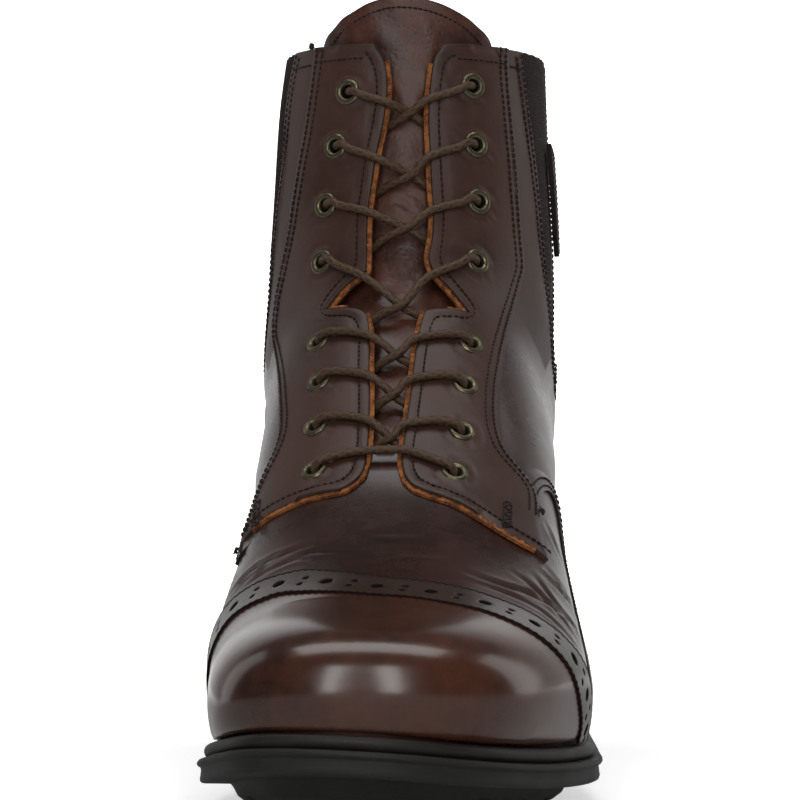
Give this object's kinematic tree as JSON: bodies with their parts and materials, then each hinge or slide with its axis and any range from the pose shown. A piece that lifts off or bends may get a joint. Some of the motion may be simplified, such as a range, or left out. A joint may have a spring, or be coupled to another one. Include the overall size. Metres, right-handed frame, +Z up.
{
  "type": "lace-up ankle boot",
  "caption": "Left lace-up ankle boot with an open collar, side elastic panels, a punched strip behind the toe cap, a full tongue, ringed eyelets, a rubber outsole and a block heel.",
  "frame": {"origin": "centre of the bounding box in plan, at floor level under the heel and the tread", "axes": "+Z up, -Y toward the toe, +Y toward the heel, +X toward the lateral side of this left boot"},
  "size_m": [0.1019, 0.29, 0.2127],
  "materials": {
    "rubber": "matt dark grey-green moulded rubber",
    "welt_rubber": "matt moulded bead",
    "vamp_leather": "polished dark brown leather",
    "cap_leather": "polished dark brown leather, firm",
    "facing_leather": "semi-matt brown leather with a raw tan edge",
    "tongue_leather": "red-brown pull-up leather",
    "elastic": "ribbed dark elastic",
    "aged_brass": "aged brass",
    "waxed_cord": "round waxed cord",
    "insole_leather": "natural leather"
  },
  "bodies": {
    "root": {"outsole": "rubber", "heel": "rubber", "welt": "welt_rubber", "insole": "insole_leather", "upper": "vamp_leather", "toe_cap": "cap_leather", "cap_strip": "cap_leather", "facing_medial": "facing_leather", "facing_lateral": "facing_leather", "side_patch": "facing_leather", "gore_medial": "elastic", "gore_lateral": "elastic", "tongue": "tongue_leather", "lace_bar": "waxed_cord", "lace_crossing_1": "waxed_cord", "lace_crossing_2": "waxed_cord", "lace_crossing_3": "waxed_cord", "lace_crossing_4": "waxed_cord", "lace_crossing_5": "waxed_cord", "lace_crossing_6": "waxed_cord", "lace_crossing_7": "waxed_cord", "eyelet_medial_1": "aged_brass", "eyelet_medial_2": "aged_brass", "eyelet_medial_3": "aged_brass", "eyelet_medial_4": "aged_brass", "eyelet_medial_5": "aged_brass", "eyelet_medial_6": "aged_brass", "eyelet_medial_7": "aged_brass", "eyelet_medial_8": "aged_brass", "eyelet_lateral_1": "aged_brass", "eyelet_lateral_2": "aged_brass", "eyelet_lateral_3": "aged_brass", "eyelet_lateral_4": "aged_brass", "eyelet_lateral_5": "aged_brass", "eyelet_lateral_6": "aged_brass", "eyelet_lateral_7": "aged_brass", "eyelet_lateral_8": "aged_brass"}
  },
  "joints": []
}
